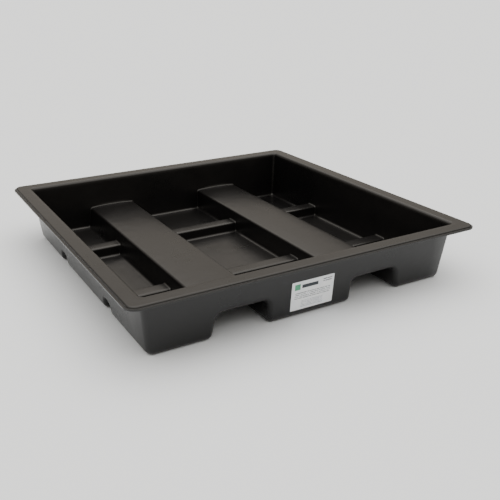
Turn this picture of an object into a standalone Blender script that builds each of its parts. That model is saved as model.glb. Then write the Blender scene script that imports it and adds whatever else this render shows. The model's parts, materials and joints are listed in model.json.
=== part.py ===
"""Spill containment pallet: a low square sump formed from one sheet of black HDPE.

The sheet has a flanged rim, leaning walls and a flat floor. Two tall ridges run from
front to back and two low ridges cross them. Each ridge is hollow underneath: the tall
ones are the fork tunnels and the low ones split the underside into nine feet.

Metres, +Z up. The origin is on the ground under the middle of the tray, the labelled
front faces -Y, and the fork tunnels run along Y.

The sheet has an upper and a lower skin. Each is the same net of lines: rings from the
lip to the foot of the walls, then columns and rows across the floor. The bends of the
lower skin are wider, because the sheet thins where it is drawn into a corner.
"""
import math

import bmesh
import bpy
from mathutils import Vector

# Overall size
RIM_WIDTH = 1.295          # across the trimmed lips, the same both ways
HEIGHT = 0.2085            # ground to rim top
SHEET = 0.0055             # thickness of the formed sheet

# Lean of the steep faces from the vertical
WALL_LEAN = math.radians(6.1)
RIDGE_OUTER_LEAN = math.radians(10.5)   # sides of the tall ridges that face the side walls
RIDGE_INNER_LEAN = math.radians(3.0)    # sides of the tall ridges that face each other

# Rim section, from the trimmed lip inwards, by its upper skin
RIM_STEP = 0.0060          # flange top down to the ledge along the lip
RIM_STEP_TURN = math.radians(70)        # steepness of the step
LEDGE = 0.0050             # flat of the ledge
LEDGE_BEND = 0.0020
FLANGE_EDGE_BEND = 0.0065
WALL_INSET = 0.0631        # lip to the inner wall, measured at rim level

# Plan corner radii that both skins share
LIP_CORNER = 0.042
FLANGE_CORNER = 0.022      # where the step starts down from the flange

# Levels of the sheet's upper skin above the ground
FLOOR_Z = SHEET
CROSS_RIDGE_Z = 0.0460
TALL_RIDGE_Z = 0.0905

# Ridges: distance of each centreline from the middle, and half width of the top
TALL_RIDGE_OFFSET = 0.2533
TALL_RIDGE_HALF = 0.0943
CROSS_RIDGE_OFFSET = 0.2345
CROSS_RIDGE_HALF = 0.0280

# Fineness of the faceted bends
BEND_STEPS = 2             # segments in each bend
CORNER_STEPS = 2           # segments in each half of a plan corner

# Label on the front wall, over the middle foot
LABEL_WIDTH = 0.163
LABEL_HEIGHT = 0.104
LABEL_CORNER = 0.003
LABEL_CORNER_STEPS = 4
LABEL_THICKNESS = 0.0004
LABEL_GAP = 0.0003
LABEL_X = -0.002
LABEL_Z = 0.0768           # height of its middle


class Skin:
    """One side of the sheet: its depth in it, and the radii of its bends and corners."""

    def __init__(self, depth, floor_bend, tall_bend, cross_bend, wall_bend, corner):
        self.depth = depth
        self.floor = FLOOR_Z - depth
        self.floor_bend = floor_bend
        self.tall = Side(TALL_RIDGE_Z, TALL_RIDGE_HALF, tall_bend)
        self.cross = Side(CROSS_RIDGE_Z, CROSS_RIDGE_HALF, cross_bend)
        self.wall = Side(HEIGHT, WALL_INSET, wall_bend)
        self.corner = corner


class Side:
    """The side of a ridge or wall: its top, the sharp edge's place there, and its top bend."""

    def __init__(self, top, edge, bend):
        self.top = top
        self.edge = edge
        self.bend = bend


UPPER = Skin(depth=0.0, floor_bend=0.010, tall_bend=0.007, cross_bend=0.006,
             wall_bend=0.012, corner=0.011)
LOWER = Skin(depth=SHEET, floor_bend=0.021, tall_bend=0.015, cross_bend=0.009,
             wall_bend=0.0065, corner=0.020)


def remove_old_objects():
    for old in list(bpy.data.objects):
        bpy.data.objects.remove(old, do_unlink=True)


def tangent_length(radius, lean):
    """Distance from a sharp corner to where a bend of this radius leaves the level face."""
    return radius * (1.0 - math.sin(lean)) / math.cos(lean)


def stand_off(rise, radius, lean):
    """How far a bend stands off the leaning face, this far above or below the level face."""
    if rise >= radius * (1.0 - math.sin(lean)):
        return 0.0
    across = math.sqrt(radius ** 2 - (radius - rise) ** 2)
    return tangent_length(radius, lean) - across + rise * math.tan(lean)


def bend_levels(radius):
    """Distances of a bend's lines from its level face, nearest first."""
    angles = [(math.pi / 2 - WALL_LEAN) * step / BEND_STEPS for step in range(1, BEND_STEPS + 1)]
    return [radius * (1.0 - math.cos(angle)) for angle in angles]


def levels_up_to(skin, side):
    """Levels of the lines up a side. Sides share them, so that creases meet at corners."""
    levels = [skin.floor]
    levels += [skin.floor + rise for rise in bend_levels(skin.floor_bend)]
    for lower_side in (skin.cross, skin.tall, skin.wall):
        if lower_side.top > side.top:
            break
        top = lower_side.top - skin.depth
        levels += [top - drop for drop in reversed(bend_levels(lower_side.bend))]
        levels.append(top)
    return levels


def side_place(level, skin, side, lean):
    """Distance of a side from its ridge's centreline, or from the lip, at this level."""
    place = side.edge + (side.top - level) * math.tan(lean) - skin.depth / math.cos(lean)
    place += stand_off(level - skin.floor, skin.floor_bend, lean)
    place -= stand_off(side.top - skin.depth - level, side.bend, lean)
    return place


def ridge_lines(skin, side, offset, inner_lean, outer_lean):
    """Lines across both ridges of a pair, as (place, level) from left to right."""
    lines = []
    for level in levels_up_to(skin, side):
        for direction in (-1, 1):
            inner = offset - side_place(level, skin, side, inner_lean)
            outer = offset + side_place(level, skin, side, outer_lean)
            lines.append((direction * inner, level))
            lines.append((direction * outer, level))
    return sorted(lines)


def step_rings(skin):
    """Rings from the trimmed lip up the step to the flange, as (inset, level, corner)."""
    ledge_level = HEIGHT - RIM_STEP
    both_bends = LEDGE_BEND + FLANGE_EDGE_BEND
    straight_rise = RIM_STEP - both_bends * (1.0 - math.cos(RIM_STEP_TURN))
    straight_run = straight_rise / math.tan(RIM_STEP_TURN)
    flange_edge = LEDGE + both_bends * math.sin(RIM_STEP_TURN) + straight_run
    angles = [RIM_STEP_TURN * step / BEND_STEPS for step in range(BEND_STEPS + 1)]
    points = []
    for angle in angles:
        radius = LEDGE_BEND + skin.depth
        points.append((LEDGE + radius * math.sin(angle),
                       ledge_level + LEDGE_BEND - radius * math.cos(angle)))
    for angle in reversed(angles):
        radius = FLANGE_EDGE_BEND - skin.depth
        points.append((flange_edge - radius * math.sin(angle),
                       HEIGHT - FLANGE_EDGE_BEND + radius * math.cos(angle)))
    lip = (0.0, ledge_level - skin.depth, LIP_CORNER)
    return [lip] + [(inset, level, FLANGE_CORNER + flange_edge - inset) for inset, level in points]


def wall_rings(skin):
    """Rings from the flange over its inner edge and down the wall to the floor."""
    rings = []
    for level in reversed(levels_up_to(skin, skin.wall)):
        inset = side_place(level, skin, skin.wall, WALL_LEAN)
        rings.append((inset, level, skin.corner))
    return rings


def outline_point(column, row, columns, rows, centre, radius):
    """Plan position of a node on an outline, whose corners are arcs."""
    last_column = len(columns) - 1
    last_row = len(rows) - 1
    steps_x = CORNER_STEPS - min(column, last_column - column)
    steps_y = CORNER_STEPS - min(row, last_row - row)
    side_x = -1 if column * 2 < last_column else 1
    side_y = -1 if row * 2 < last_row else 1
    if steps_x < 0:
        return columns[column], side_y * (centre + radius)
    if steps_y < 0:
        return side_x * (centre + radius), rows[row]
    angle = math.pi / 4 * (1.0 + (steps_y - steps_x) / CORNER_STEPS)
    return (side_x * (centre + radius * math.cos(angle)),
            side_y * (centre + radius * math.sin(angle)))


def outline_nodes(last_column, last_row):
    """Grid nodes round the outside, anticlockwise from the front left corner."""
    front = [(column, 0) for column in range(last_column)]
    right = [(last_column, row) for row in range(last_row)]
    back = [(last_column - column, last_row) for column in range(last_column)]
    left = [(0, last_row - row) for row in range(last_row)]
    return front + right + back + left


def with_corner_lines(lines, skin, centre):
    """The same lines with those that run out of the floor's corner arcs at both ends."""
    outer = []
    for step in range(CORNER_STEPS):
        angle = math.pi / 2 - math.pi / 4 * step / CORNER_STEPS
        outer.append((centre + skin.corner * math.cos(angle), skin.floor))
    outer.append((centre + skin.corner, skin.floor))
    mirrored = [(-place, level) for place, level in reversed(outer)]
    return mirrored + lines + outer


def add_skin(mesh, skin):
    """Add the vertices and faces of one skin of the sheet. Returns its lip vertices."""
    rings = step_rings(skin) + wall_rings(skin)
    floor_centre = RIM_WIDTH / 2 - rings[-1][0] - skin.corner
    across = ridge_lines(skin, skin.tall, TALL_RIDGE_OFFSET, RIDGE_INNER_LEAN, RIDGE_OUTER_LEAN)
    along = ridge_lines(skin, skin.cross, CROSS_RIDGE_OFFSET, WALL_LEAN, WALL_LEAN)
    columns, column_levels = zip(*with_corner_lines(across, skin, floor_centre))
    rows, row_levels = zip(*with_corner_lines(along, skin, floor_centre))
    nodes = outline_nodes(len(columns) - 1, len(rows) - 1)

    outlines = []
    for inset, ring_level, radius in rings:
        centre = RIM_WIDTH / 2 - inset - radius
        outline = {}
        for column, row in nodes:
            x, y = outline_point(column, row, columns, rows, centre, radius)
            level = max(ring_level, column_levels[column], row_levels[row])
            outline[column, row] = mesh.verts.new((x, y, level))
        outlines.append(outline)

    grid = dict(outlines[-1])
    for column in range(1, len(columns) - 1):
        for row in range(1, len(rows) - 1):
            level = max(column_levels[column], row_levels[row])
            grid[column, row] = mesh.verts.new((columns[column], rows[row], level))

    for outer, inner in zip(outlines, outlines[1:]):
        for here, there in zip(nodes, nodes[1:] + nodes[:1]):
            add_face(mesh, [outer[here], outer[there], inner[there], inner[here]])
    for column in range(len(columns) - 1):
        for row in range(len(rows) - 1):
            add_face(mesh, [
                grid[column, row], grid[column + 1, row],
                grid[column + 1, row + 1], grid[column, row + 1],
            ])
    return [outlines[0][node] for node in nodes]


def add_face(mesh, corners):
    """Add a quad, or two triangles that share its crease where its corners aren't in a plane."""
    normal = (corners[2].co - corners[0].co).cross(corners[3].co - corners[1].co).normalized()
    gap = abs((corners[1].co - corners[0].co).dot(normal))
    if gap < SHEET * 0.001:
        mesh.faces.new(corners)
        return
    lowest = min(range(4), key=lambda index: corners[index].co.z)
    turned = corners[lowest:] + corners[:lowest]
    mesh.faces.new(turned[:3])
    mesh.faces.new([turned[0], turned[2], turned[3]])


def make_tray():
    mesh = bmesh.new()
    upper_lip = add_skin(mesh, UPPER)
    upper_faces = set(mesh.faces)
    lower_lip = add_skin(mesh, LOWER)
    lower_faces = [face for face in mesh.faces if face not in upper_faces]
    bmesh.ops.reverse_faces(mesh, faces=lower_faces)
    for index, corner in enumerate(upper_lip):
        follower = (index + 1) % len(upper_lip)
        mesh.faces.new([corner, lower_lip[index], lower_lip[follower], upper_lip[follower]])
    bmesh.ops.dissolve_limit(
        mesh, angle_limit=math.radians(0.05), verts=mesh.verts, edges=mesh.edges)
    tray = object_from(mesh, "sump_tray")
    tray.data.materials.append(plastic("black_hdpe", (0.019, 0.019, 0.021, 1.0), 0.38))
    return tray


def make_label():
    """A thin rounded plate, modelled flat and then laid against the leaning front wall."""
    mesh = bmesh.new()
    corners = []
    for side_x, side_y, start in ((1, 1, 0), (-1, 1, 90), (-1, -1, 180), (1, -1, 270)):
        for step in range(LABEL_CORNER_STEPS + 1):
            angle = math.radians(start + 90 * step / LABEL_CORNER_STEPS)
            x = side_x * (LABEL_WIDTH / 2 - LABEL_CORNER) + LABEL_CORNER * math.cos(angle)
            y = side_y * (LABEL_HEIGHT / 2 - LABEL_CORNER) + LABEL_CORNER * math.sin(angle)
            corners.append(mesh.verts.new((x, y, 0.0)))
    face = mesh.faces.new(corners)
    extruded = bmesh.ops.extrude_face_region(mesh, geom=[face])
    moved = [item for item in extruded["geom"] if isinstance(item, bmesh.types.BMVert)]
    bmesh.ops.translate(mesh, verts=moved, vec=(0.0, 0.0, LABEL_THICKNESS))
    bmesh.ops.recalc_face_normals(mesh, faces=mesh.faces)
    label = object_from(mesh, "product_label")
    label.data.materials.append(plastic("white_vinyl", (0.80, 0.82, 0.84, 1.0), 0.45))
    outer_wall = RIM_WIDTH / 2 - WALL_INSET + SHEET / math.cos(WALL_LEAN)
    outer_wall -= (HEIGHT - LABEL_Z) * math.tan(WALL_LEAN)
    outwards = Vector((0.0, -math.cos(WALL_LEAN), -math.sin(WALL_LEAN)))
    label.location = Vector((LABEL_X, -outer_wall, LABEL_Z)) + outwards * LABEL_GAP
    label.rotation_euler = (math.pi / 2 + WALL_LEAN, 0.0, 0.0)
    return label


def plastic(name, colour, roughness):
    material = bpy.data.materials.new(name)
    material.use_nodes = True
    shader = material.node_tree.nodes["Principled BSDF"]
    shader.inputs["Base Color"].default_value = colour
    shader.inputs["Roughness"].default_value = roughness
    shader.inputs["Metallic"].default_value = 0.0
    return material


def object_from(mesh, name):
    data = bpy.data.meshes.new(name)
    mesh.to_mesh(data)
    mesh.free()
    made = bpy.data.objects.new(name, data)
    bpy.context.scene.collection.objects.link(made)
    return made


def main():
    remove_old_objects()
    make_tray()
    make_label()


main()
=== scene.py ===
import json
import math

import bpy
import numpy as np
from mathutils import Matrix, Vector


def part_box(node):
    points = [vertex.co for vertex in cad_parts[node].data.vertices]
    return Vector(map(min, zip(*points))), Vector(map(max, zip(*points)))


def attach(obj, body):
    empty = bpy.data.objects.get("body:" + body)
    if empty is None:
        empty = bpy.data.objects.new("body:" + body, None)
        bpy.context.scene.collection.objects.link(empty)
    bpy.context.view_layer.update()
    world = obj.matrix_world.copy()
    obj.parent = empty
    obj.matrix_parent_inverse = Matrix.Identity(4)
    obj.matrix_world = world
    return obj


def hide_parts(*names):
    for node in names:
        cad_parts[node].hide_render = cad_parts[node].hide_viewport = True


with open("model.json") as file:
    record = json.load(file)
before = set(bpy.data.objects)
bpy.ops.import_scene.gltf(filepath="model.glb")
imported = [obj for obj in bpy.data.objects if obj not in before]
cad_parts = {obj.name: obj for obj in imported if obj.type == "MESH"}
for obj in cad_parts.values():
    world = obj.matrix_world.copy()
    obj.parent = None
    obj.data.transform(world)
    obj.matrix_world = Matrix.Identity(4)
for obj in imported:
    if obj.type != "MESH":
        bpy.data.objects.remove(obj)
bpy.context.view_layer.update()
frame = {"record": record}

# Places given by the frame
MOUNTS = {mount["name"]: mount["pos_m"] for mount in frame["record"]["mounts"]}
OPENINGS = {space["name"]: space["box_m"] for space in frame["record"]["physics"]["openings"]}
TRAY_LOW, TRAY_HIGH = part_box("sump_tray")
LABEL_LOW, LABEL_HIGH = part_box("product_label")
RIM_HALF = TRAY_HIGH[0]
HEIGHT = TRAY_HIGH[2]
FLOOR_Z = MOUNTS["floor"][2]
SHEET = FLOOR_Z - TRAY_LOW[2]
TALL_OFFSET, _, TALL_TOP = MOUNTS["ridge_top_right"]
CROSS_OFFSET = (OPENINGS["side_tunnel_back"][0][1] + OPENINGS["side_tunnel_back"][1][1]) / 2

# Ridges: half width of the top, rise of its middle above its edges
TALL_HALF = 0.0943
TALL_CROWN = 0.0040
TALL_SINK = 0.0025         # how far the edges of the crown lie below the tall ridges' level
CROSS_TOP = 0.0460
CROSS_HALF = 0.0280
CROSS_CROWN = 0.0008
CROWN_POWER = 2.6          # the higher, the flatter the middle of the crown

# Lean of the steep faces from the vertical
WALL_LEAN = math.radians(6.1)
TALL_OUTER_LEAN = math.radians(10.5)
TALL_INNER_LEAN = math.radians(3.0)

# Rim section, from the trimmed lip inwards, by its upper skin
LIP_ROUND = 0.0009         # rounding of the trimmed edge
LIP_CORNER = 0.042
RIM_STEP = 0.0060
RIM_STEP_TURN = math.radians(70)
LEDGE = 0.0050
LEDGE_BEND = 0.0020
FLANGE_EDGE_BEND = 0.0065
FLANGE_CORNER = 0.022
WALL_INSET = 0.0631
FLOOR_CORNER = 0.002       # smallest plan corner, at the foot of the walls

# Fineness of the grid
BEND_STEPS = 6
CREASE_STEPS = 4
LIP_STEPS = 3
CORNER_STEPS = 5           # lines in half of a plan corner
SIDE_STEPS = (3, 6, 12)    # between the bends: below the cross ridges' top, the tall ones', the rim
MIDDLE_STEPS = 4           # across the flat floor between the ridges
OUTSIDE_STEPS = 4          # across the flat floor beside the walls
TOP_STEPS = 12             # across a ridge's top
FLANGE_STEPS = 4
SLIDES = 14                # passes that bring the grid onto the surface
SLOPE_REACH = 1e-5         # half of the distance over which a slope is measured
LEAST_STEEPNESS = 0.05     # keeps a pass from throwing a point far off where slopes cancel


class Side:
    """A steep side: the level and place of its sharp top edge, its top bend and its lean."""

    def __init__(self, top, edge, bend, lean):
        self.top = top
        self.edge = edge
        self.bend = bend
        self.lean = lean


class Skin:
    """One skin of the sheet: its depth in it, and the radii of its bends and corners."""

    def __init__(self, depth, floor_bend, tall_bend, cross_bend, rim_bend, crease, corner):
        self.depth = depth
        self.floor = FLOOR_Z - depth
        self.floor_bend = floor_bend
        self.crease = crease
        self.corner = corner
        self.tall_inner = Side(TALL_TOP, TALL_HALF, tall_bend, TALL_INNER_LEAN)
        self.tall_outer = Side(TALL_TOP, TALL_HALF, tall_bend, TALL_OUTER_LEAN)
        self.cross = Side(CROSS_TOP, CROSS_HALF, cross_bend, WALL_LEAN)
        self.wall = Side(HEIGHT, WALL_INSET, rim_bend, WALL_LEAN)


UPPER = Skin(depth=0.0, floor_bend=0.0100, tall_bend=0.0065, cross_bend=0.0055,
             rim_bend=0.012, crease=0.005, corner=0.011)
LOWER = Skin(depth=SHEET, floor_bend=0.0185, tall_bend=0.015, cross_bend=0.009,
             rim_bend=0.0065, crease=0.016, corner=0.020)


# ---- The shape of a skin inside the rim --------------------------------------------------

def hollow(first, second, radius):
    """Clearance from two solids that meet in a hollow bend."""
    reach = np.hypot(np.maximum(radius - first, 0.0), np.maximum(radius - second, 0.0))
    return np.maximum(radius, np.minimum(first, second)) - reach


def rounded(first, second, radius):
    """Clearance from what two solids share, with a rounded edge."""
    return -hollow(-first, -second, radius)


def outline_distance(x, y, half, corner):
    """Distance outside a square of this half width with rounded corners."""
    over_x = np.abs(x) - (half - corner)
    over_y = np.abs(y) - (half - corner)
    outside = np.hypot(np.maximum(over_x, 0.0), np.maximum(over_y, 0.0))
    return outside + np.minimum(np.maximum(over_x, over_y), 0.0) - corner


def ridge(across, up, outer, inner, crown, sink):
    """Clearance from a ridge. across is the distance from its centreline, outwards."""
    flanks = []
    for side, way in ((outer, 1), (inner, -1)):
        beyond = (way * across - side.edge) * math.cos(side.lean)
        flanks.append(beyond + (up - side.top) * math.sin(side.lean))
    share = np.minimum(np.abs(across) / outer.edge, 1.0)
    crowned_top = outer.top - sink + crown * (1.0 - share ** CROWN_POWER)
    return up - crowned_top, np.maximum(*flanks)


def clearance(points, skin):
    """Distance above this skin of the sheet, negative below it."""
    x, y, z = points.T
    depth = skin.depth
    cavity_half = RIM_HALF - WALL_INSET - (HEIGHT - z) * math.tan(WALL_LEAN)
    wall = depth - outline_distance(x, y, cavity_half, skin.corner) * math.cos(WALL_LEAN)
    steep = rounded(wall, z - HEIGHT + depth, skin.wall.bend)
    tall = ridge(np.abs(x) - TALL_OFFSET, z, skin.tall_outer, skin.tall_inner,
                 TALL_CROWN, TALL_SINK)
    cross = ridge(np.abs(y) - CROSS_OFFSET, z, skin.cross, skin.cross, CROSS_CROWN, 0.0)
    for (above, beside), bend in ((tall, skin.tall_outer.bend), (cross, skin.cross.bend)):
        steep = hollow(steep, rounded(above + depth, beside + depth, bend), skin.crease)
    return hollow(steep, z - skin.floor, skin.floor_bend)


def slope(points, skin):
    """Gradient of clearance() at each point."""
    slopes = []
    for axis in range(3):
        move = np.zeros(3)
        move[axis] = SLOPE_REACH
        rise = clearance(points + move, skin) - clearance(points - move, skin)
        slopes.append(rise / (2 * SLOPE_REACH))
    return np.stack(slopes, axis=1)


def slide_onto(points, skin):
    """Move each point along the gradient until its clearance is zero. Returns normals too."""
    for _ in range(SLIDES):
        gradient = slope(points, skin)
        steepness = np.maximum((gradient ** 2).sum(axis=1), LEAST_STEEPNESS)
        points = points - gradient * (clearance(points, skin) / steepness)[:, None]
    normals = slope(points, skin)
    normals /= np.linalg.norm(normals, axis=1)[:, None]
    return points, normals


# ---- The grid of lines laid over it ------------------------------------------------------

def between(low, high, steps):
    """Evenly spaced values strictly between two limits, this many steps apart."""
    return [low + (high - low) * index / steps for index in range(1, steps)]


def bend_rises(radius, steps=BEND_STEPS):
    """Distances of a bend's lines from its level face, nearest first."""
    angles = [(math.pi / 2 - WALL_LEAN) * step / steps for step in range(1, steps + 1)]
    return [radius * (1.0 - math.cos(angle)) for angle in angles]


def tangent_length(radius, lean):
    """Distance from a sharp corner to where a bend of this radius leaves the level face."""
    return radius * (1.0 - math.sin(lean)) / math.cos(lean)


def stand_off(rise, radius, lean):
    """How far a bend stands off the leaning face, this far above or below the level face."""
    if rise >= radius * (1.0 - math.sin(lean)):
        return 0.0
    across = math.sqrt(radius ** 2 - (radius - rise) ** 2)
    return tangent_length(radius, lean) - across + rise * math.tan(lean)


def side_levels(skin, highest):
    """Levels of the lines up a side. All sides share them, so that creases meet at corners."""
    levels = [skin.floor] + [skin.floor + rise for rise in bend_rises(skin.floor_bend)]
    for side, steps in zip((skin.cross, skin.tall_outer, skin.wall), SIDE_STEPS):
        top = side.top - skin.depth
        bend = [top - drop for drop in reversed(bend_rises(side.bend))] + [top]
        levels += between(levels[-1], bend[0], steps) + bend
        if side.top >= highest:
            break
        levels += [top + rise for rise in bend_rises(skin.crease, CREASE_STEPS)]
    return levels


def side_place(level, skin, side):
    """Distance of a side from its ridge's centreline, or from the lip, at this level."""
    place = side.edge + (side.top - level) * math.tan(side.lean) - skin.depth / math.cos(side.lean)
    place += stand_off(level - skin.floor, skin.floor_bend, side.lean)
    return place - stand_off(side.top - skin.depth - level, side.bend, side.lean)


def grid_lines(skin, offset, outer, inner, centre, radius):
    """All lines across the floor one way, with the fan that runs out of its corners."""
    levels = side_levels(skin, outer.top)
    rising = [(offset - side_place(level, skin, inner), level) for level in levels]
    falling = [(offset + side_place(level, skin, outer), level) for level in reversed(levels)]
    top = [(place, levels[-1]) for place in between(rising[-1][0], falling[0][0], TOP_STEPS)]
    middle = [(place, skin.floor) for place in between(0.0, rising[0][0], MIDDLE_STEPS)]
    outside = [(place, skin.floor) for place in between(falling[-1][0], centre, OUTSIDE_STEPS)]
    fan = [(centre + radius * math.cos(math.pi / 2 - math.pi / 4 * step / CORNER_STEPS), skin.floor)
           for step in range(CORNER_STEPS)]
    fan.append((centre + radius, skin.floor))
    half = middle + rising + top + falling + outside + fan
    return [(-place, level) for place, level in reversed(half)] + [(0.0, skin.floor)] + half


def step_rings(skin):
    """Rings from the lip up the step to the flange, as (inset, level, plan corner, tilt)."""
    ledge_level = HEIGHT - RIM_STEP
    both_bends = LEDGE_BEND + FLANGE_EDGE_BEND
    straight_rise = RIM_STEP - both_bends * (1.0 - math.cos(RIM_STEP_TURN))
    straight_run = straight_rise / math.tan(RIM_STEP_TURN)
    flange_edge = LEDGE + both_bends * math.sin(RIM_STEP_TURN) + straight_run
    angles = [RIM_STEP_TURN * step / BEND_STEPS for step in range(BEND_STEPS + 1)]
    rings = [(LIP_ROUND, ledge_level - skin.depth, LIP_CORNER - LIP_ROUND, 0.0)]
    for angle in angles:
        radius = LEDGE_BEND + skin.depth
        inset = LEDGE + radius * math.sin(angle)
        level = ledge_level + LEDGE_BEND - radius * math.cos(angle)
        rings.append((inset, level, FLANGE_CORNER + flange_edge - inset, angle))
    for angle in reversed(angles):
        radius = FLANGE_EDGE_BEND - skin.depth
        inset = flange_edge - radius * math.sin(angle)
        level = HEIGHT - FLANGE_EDGE_BEND + radius * math.cos(angle)
        rings.append((inset, level, FLANGE_CORNER + flange_edge - inset, angle))
    return rings


def wall_rings(skin, flange_edge):
    """Rings across the flange and down the wall to the floor, as (inset, level, plan corner)."""
    lean = WALL_LEAN
    down_wall = []
    for level in reversed(side_levels(skin, HEIGHT)):
        corner = skin.corner + stand_off(HEIGHT - skin.depth - level, skin.wall.bend, lean)
        corner -= stand_off(level - skin.floor, skin.floor_bend, lean)
        down_wall.append((side_place(level, skin, skin.wall), level, max(corner, FLOOR_CORNER)))
    bend_start, level, corner = down_wall[0]
    across_flange = []
    for inset in between(flange_edge, bend_start, FLANGE_STEPS):
        share = (inset - flange_edge) / (bend_start - flange_edge)
        across_flange.append((inset, level, FLANGE_CORNER + (corner - FLANGE_CORNER) * share))
    return across_flange + down_wall


def outline_point(column, row, columns, rows, centre, radius):
    """Plan position of a node on an outline, whose corners are arcs."""
    last_column = len(columns) - 1
    last_row = len(rows) - 1
    steps_x = CORNER_STEPS - min(column, last_column - column)
    steps_y = CORNER_STEPS - min(row, last_row - row)
    side_x = -1 if column * 2 < last_column else 1
    side_y = -1 if row * 2 < last_row else 1
    if steps_x < 0:
        return columns[column], side_y * (centre + radius)
    if steps_y < 0:
        return side_x * (centre + radius), rows[row]
    angle = math.pi / 4 * (1.0 + (steps_y - steps_x) / CORNER_STEPS)
    return (side_x * (centre + radius * math.cos(angle)),
            side_y * (centre + radius * math.sin(angle)))


def outline_nodes(last_column, last_row):
    """Grid nodes round the outside, anticlockwise from the front left corner."""
    front = [(column, 0) for column in range(last_column)]
    right = [(last_column, row) for row in range(last_row)]
    back = [(last_column - column, last_row) for column in range(last_column)]
    left = [(0, last_row - row) for row in range(last_row)]
    return front + right + back + left


def laid_skin(skin):
    """One skin as points, upward normals and quads, with the way out from each lip point."""
    fixed = step_rings(skin)
    flange_edge = fixed[-1][0]
    rings = [ring[:3] for ring in fixed] + wall_rings(skin, flange_edge)
    inset, _, radius = rings[-1]
    floor_centre = RIM_HALF - inset - radius
    across = grid_lines(skin, TALL_OFFSET, skin.tall_outer, skin.tall_inner, floor_centre, radius)
    along = grid_lines(skin, CROSS_OFFSET, skin.cross, skin.cross, floor_centre, radius)
    columns, column_levels = zip(*across)
    rows, row_levels = zip(*along)
    nodes = outline_nodes(len(columns) - 1, len(rows) - 1)
    count = len(nodes)

    points = []
    for inset, ring_level, radius in rings:
        centre = RIM_HALF - inset - radius
        for column, row in nodes:
            x, y = outline_point(column, row, columns, rows, centre, radius)
            points.append((x, y, max(ring_level, column_levels[column], row_levels[row])))
    quads = []
    for here in range(0, (len(rings) - 1) * count, count):
        for node in range(count):
            follower = (node + 1) % count
            quads.append((here + node, here + follower,
                          here + count + follower, here + count + node))
    index = {node: (len(rings) - 1) * count + place for place, node in enumerate(nodes)}
    for column in range(1, len(columns) - 1):
        for row in range(1, len(rows) - 1):
            index[column, row] = len(points)
            points.append((columns[column], rows[row], max(column_levels[column], row_levels[row])))
    for column in range(len(columns) - 1):
        for row in range(len(rows) - 1):
            quads.append((index[column, row], index[column + 1, row],
                          index[column + 1, row + 1], index[column, row + 1]))

    inside = [outline_point(*node, columns, rows, 0.5, 0.0) for node in nodes]
    outside = [outline_point(*node, columns, rows, 0.5, 1.0) for node in nodes]
    ways_out = np.zeros((count, 3))
    ways_out[:, :2] = np.array(outside) - np.array(inside)
    points = np.array(points)
    held = len(fixed) * count
    normals = np.zeros_like(points)
    for place, ring in enumerate(fixed):
        tilt = ring[3]
        normals[place * count:(place + 1) * count] = ways_out * math.sin(tilt)
        normals[place * count:(place + 1) * count, 2] = math.cos(tilt)
    points[held:], normals[held:] = slide_onto(points[held:], skin)
    return points, normals, quads, ways_out


# ---- The tray ----------------------------------------------------------------------------

def lip_band(upper_lip, lower_lip, ways_out):
    """Rings of points round the trimmed edge, from the upper skin to the lower, with normals."""
    up = np.array((0.0, 0.0, 1.0))
    rings = []
    for centre, first in ((upper_lip - up * LIP_ROUND, 0), (lower_lip + up * LIP_ROUND, 1)):
        for step in range(LIP_STEPS + 1):
            angle = math.pi / 2 * (first + step / LIP_STEPS)
            facing = ways_out * math.sin(angle) + up * math.cos(angle)
            rings.append((centre + facing * LIP_ROUND, facing))
    return rings[1:-1]


def make_tray():
    upper, upper_normals, quads, ways_out = laid_skin(UPPER)
    lower, lower_normals, lower_quads, _ = laid_skin(LOWER)
    lip = len(ways_out)
    band = lip_band(upper[:lip], lower[:lip], ways_out)
    points = [upper, lower] + [ring for ring, _ in band]
    normals = [upper_normals, -lower_normals] + [facing for _, facing in band]
    first_lower = len(upper)
    faces = list(quads)
    faces += [tuple(corner + first_lower for corner in reversed(quad)) for quad in lower_quads]
    first_band = first_lower + len(lower)
    starts = [0] + [first_band + lip * place for place in range(len(band))] + [first_lower]
    for above, below in zip(starts, starts[1:]):
        for node in range(lip):
            follower = (node + 1) % lip
            faces.append((above + node, below + node, below + follower, above + follower))
    mesh = bpy.data.meshes.new("tray_sheet")
    mesh.from_pydata(np.concatenate(points).tolist(), [], faces)
    mesh.polygons.foreach_set("use_smooth", [True] * len(faces))
    mesh.normals_split_custom_set_from_vertices(np.concatenate(normals).tolist())
    tray = bpy.data.objects.new("tray_sheet", mesh)
    bpy.context.scene.collection.objects.link(tray)
    mesh.materials.append(tray_plastic())
    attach(tray, "root")
    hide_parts("sump_tray")


# ---- Materials ---------------------------------------------------------------------------

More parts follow.
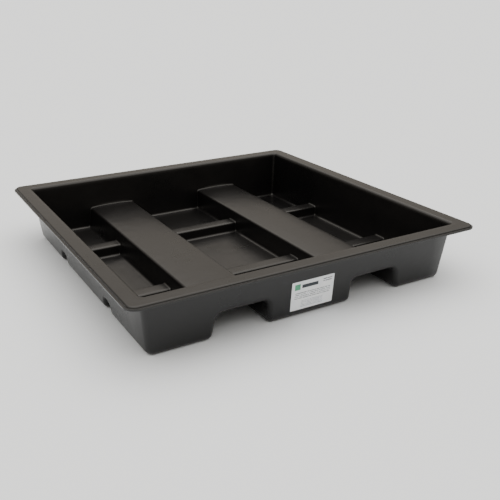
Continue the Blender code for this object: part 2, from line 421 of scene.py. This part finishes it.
class Nodes:
    """Short names for building a material's node tree."""

    def __init__(self, name):
        self.material = bpy.data.materials.new(name)
        self.material.use_nodes = True
        self.tree = self.material.node_tree
        self.shader = self.tree.nodes["Principled BSDF"]

    def link(self, value, socket):
        if isinstance(value, (int, float, tuple)):
            socket.default_value = value
        else:
            self.tree.links.new(value, socket)

    def math(self, operation, first, second=0.0):
        node = self.tree.nodes.new("ShaderNodeMath")
        node.operation = operation
        self.link(first, node.inputs[0])
        self.link(second, node.inputs[1])
        return node.outputs[0]

    def ramp(self, value, low, high, start=0.0, end=1.0):
        """Maps low..high onto start..end, without going past them."""
        node = self.tree.nodes.new("ShaderNodeMapRange")
        self.link(value, node.inputs["Value"])
        limits = (("From Min", low), ("From Max", high), ("To Min", start), ("To Max", end))
        for name, number in limits:
            node.inputs[name].default_value = number
        return node.outputs[0]

    def mix(self, share, first, second):
        node = self.tree.nodes.new("ShaderNodeMix")
        node.data_type = "RGBA"
        self.link(share, node.inputs["Factor"])
        self.link(first, node.inputs[6])
        self.link(second, node.inputs[7])
        return node.outputs[2]

    def place(self):
        return self.tree.nodes.new("ShaderNodeTexCoord").outputs["Object"]

    def axes(self, vector):
        node = self.tree.nodes.new("ShaderNodeSeparateXYZ")
        self.link(vector, node.inputs[0])
        return node.outputs[0], node.outputs[1], node.outputs[2]

    def vector(self, x, y, z):
        node = self.tree.nodes.new("ShaderNodeCombineXYZ")
        for value, socket in zip((x, y, z), node.inputs):
            self.link(value, socket)
        return node.outputs[0]

    def noise(self, place, per_metre, detail=2.0, roughness=0.5):
        node = self.tree.nodes.new("ShaderNodeTexNoise")
        self.link(place, node.inputs["Vector"])
        node.inputs["Scale"].default_value = per_metre
        node.inputs["Detail"].default_value = detail
        node.inputs["Roughness"].default_value = roughness
        return node.outputs[0]

    def bump(self, height, distance, below=None):
        node = self.tree.nodes.new("ShaderNodeBump")
        node.inputs["Distance"].default_value = distance
        self.link(height, node.inputs["Height"])
        if below is not None:
            self.link(below, node.inputs["Normal"])
        return node.outputs[0]


def tray_plastic():
    """Satin black polyethylene with a fine grain, a slight ripple and faint rubbed patches."""
    nodes = Nodes("tray_plastic")
    place = nodes.place()
    shader = nodes.shader
    patches = nodes.noise(place, per_metre=5.0, detail=4.0, roughness=0.55)
    grain = nodes.noise(place, per_metre=1400.0, detail=2.0, roughness=0.6)
    ripple = nodes.noise(place, per_metre=22.0, detail=1.0, roughness=0.4)
    tone = nodes.mix(nodes.ramp(patches, 0.35, 0.70), (0.0032, 0.0031, 0.0034, 1.0),
                     (0.0046, 0.0043, 0.0044, 1.0))
    nodes.link(tone, shader.inputs["Base Color"])
    roughness = nodes.ramp(patches, 0.3, 0.75, start=0.26, end=0.33)
    nodes.link(roughness, shader.inputs["Roughness"])
    shader.inputs["IOR"].default_value = 1.47
    rippled = nodes.bump(ripple, distance=0.0006)
    grained = nodes.bump(grain, distance=0.00006, below=rippled)
    nodes.link(grained, shader.inputs["Normal"])
    return nodes.material


def label_print():
    """White vinyl with a generic print: a green square, a dark bar and rows of dashes."""
    nodes = Nodes("label_print")
    x, _, z = nodes.axes(nodes.place())
    across = nodes.ramp(x, LABEL_LOW[0], LABEL_HIGH[0])
    up = nodes.ramp(z, LABEL_LOW[2], LABEL_HIGH[2])

    def within(value, low, high):
        above = nodes.math("GREATER_THAN", value, low)
        return nodes.math("MULTIPLY", above, nodes.math("LESS_THAN", value, high))

    def block(left, right, bottom, top):
        return nodes.math("MULTIPLY", within(across, left, right), within(up, bottom, top))

    def fine_print(left, right, bottom, top, rows, word):
        """Rows of short dashes of uneven length, like print too small to read."""
        row = nodes.math("MULTIPLY", nodes.ramp(up, bottom, top), float(rows))
        dash_height = within(nodes.math("FRACT", row), 0.28, 0.72)
        row_seed = nodes.math("MULTIPLY", nodes.math("FLOOR", row), 7.3)
        words = nodes.noise(nodes.vector(nodes.math("MULTIPLY", across, word), row_seed, 0.0), 1.0)
        dashes = nodes.math("GREATER_THAN", words, 0.44)
        inside = nodes.math("MULTIPLY", block(left, right, bottom, top), dash_height)
        return nodes.math("MULTIPLY", inside, dashes)

    surface = nodes.noise(nodes.place(), per_metre=60.0, detail=3.0)
    colour = nodes.mix(nodes.ramp(surface, 0.3, 0.7), (0.88, 0.91, 0.95, 1.0),
                       (0.94, 0.96, 0.98, 1.0))
    # Places are shares of the label's width and height, from its lower left corner
    prints = (
        (fine_print(0.24, 0.76, 0.07, 0.32, 5, 46.0), (0.42, 0.45, 0.52, 1.0)),
        (fine_print(0.08, 0.92, 0.38, 0.62, 4, 40.0), (0.20, 0.22, 0.25, 1.0)),
        (fine_print(0.74, 0.95, 0.79, 0.93, 2, 50.0), (0.10, 0.11, 0.13, 1.0)),
        (block(0.24, 0.62, 0.75, 0.87), (0.015, 0.022, 0.030, 1.0)),
        (block(0.07, 0.20, 0.71, 0.91), (0.08, 0.36, 0.20, 1.0)),
    )
    for mask, ink in prints:
        colour = nodes.mix(mask, colour, ink)
    nodes.link(colour, nodes.shader.inputs["Base Color"])
    roughness = nodes.ramp(surface, 0.3, 0.7, start=0.38, end=0.50)
    nodes.link(roughness, nodes.shader.inputs["Roughness"])
    nodes.link(nodes.bump(surface, distance=0.0002), nodes.shader.inputs["Normal"])
    return nodes.material


def finish_label():
    label = bpy.data.objects["product_label"]
    label.data.materials.clear()
    label.data.materials.append(label_print())


# ---- Setting -----------------------------------------------------------------------------

SKY_RISE = (0.45, 0.85)    # where the sky brightens, as the sine of the height
SKY_LOW_COLOUR = (0.134, 0.122, 0.106, 1.0)
SKY_HIGH_COLOUR = (1.0, 0.95, 0.88, 1.0)
GLOW_WAY = (0.441, 0.830, 0.342)       # towards the middle of a brighter patch behind the tray
GLOW_NEARNESS = (0.84, 0.99)           # cosine of the angle from it, at its rim and in its middle
GLOW_STRENGTH = (2.7, 4.6)             # the sky's strength outside the patch and in its middle
FLOOR_REACH = 30.0                     # half width of the studio floor


def floor_material():
    nodes = Nodes("studio_floor")
    nodes.shader.inputs["Base Color"].default_value = (0.89, 0.94, 1.0, 1.0)
    nodes.shader.inputs["Roughness"].default_value = 0.9
    nodes.shader.inputs["Specular IOR Level"].default_value = 0.0
    return nodes.material


def make_floor():
    mesh = bpy.data.meshes.new("studio_floor")
    ways = ((-1, -1), (1, -1), (1, 1), (-1, 1))
    corners = [(way_x * FLOOR_REACH, way_y * FLOOR_REACH, 0.0) for way_x, way_y in ways]
    mesh.from_pydata(corners, [], [(0, 1, 2, 3)])
    floor = bpy.data.objects.new("studio_floor", mesh)
    bpy.context.scene.collection.objects.link(floor)
    mesh.materials.append(floor_material())


def make_world():
    """A warm dim sky, brighter and less warm overhead, with a glowing patch low behind the tray."""
    world = bpy.data.worlds.new("studio")
    bpy.context.scene.world = world
    world.use_nodes = True
    tree = world.node_tree
    background = tree.nodes["Background"]
    way = tree.nodes.new("ShaderNodeTexCoord").outputs["Generated"]
    split = tree.nodes.new("ShaderNodeSeparateXYZ")
    tree.links.new(way, split.inputs[0])
    sky = tree.nodes.new("ShaderNodeValToRGB")
    colours = (SKY_LOW_COLOUR, SKY_HIGH_COLOUR)
    for element, place, colour in zip(sky.color_ramp.elements, SKY_RISE, colours):
        element.position = place
        element.color = colour
    tree.links.new(split.outputs[2], sky.inputs[0])
    nearness = tree.nodes.new("ShaderNodeVectorMath")
    nearness.operation = "DOT_PRODUCT"
    nearness.inputs[1].default_value = GLOW_WAY
    tree.links.new(way, nearness.inputs[0])
    glow = tree.nodes.new("ShaderNodeMapRange")
    glow.interpolation_type = "SMOOTHSTEP"
    limits = GLOW_NEARNESS + GLOW_STRENGTH
    for name, number in zip(("From Min", "From Max", "To Min", "To Max"), limits):
        glow.inputs[name].default_value = number
    tree.links.new(nearness.outputs["Value"], glow.inputs["Value"])
    tree.links.new(sky.outputs[0], background.inputs["Color"])
    tree.links.new(glow.outputs[0], background.inputs["Strength"])


CAMERA_LENS = 50.0                     # millimetres, as the sensor's width is
CAMERA_SENSOR = 36.0
CAMERA_PLACE = (-1.1917, -2.2099, 1.0345)
CAMERA_TURN = math.radians(30.39)      # from +Y towards +X
CAMERA_PITCH = math.radians(21.98)     # below the horizon


def make_camera():
    data = bpy.data.cameras.new("camera")
    data.lens = CAMERA_LENS
    data.sensor_width = CAMERA_SENSOR
    camera = bpy.data.objects.new("camera", data)
    camera.location = CAMERA_PLACE
    camera.rotation_euler = (math.pi / 2 - CAMERA_PITCH, 0.0, -CAMERA_TURN)
    bpy.context.scene.collection.objects.link(camera)
    bpy.context.scene.camera = camera


make_camera()
make_world()
make_floor()
make_tray()
finish_label()
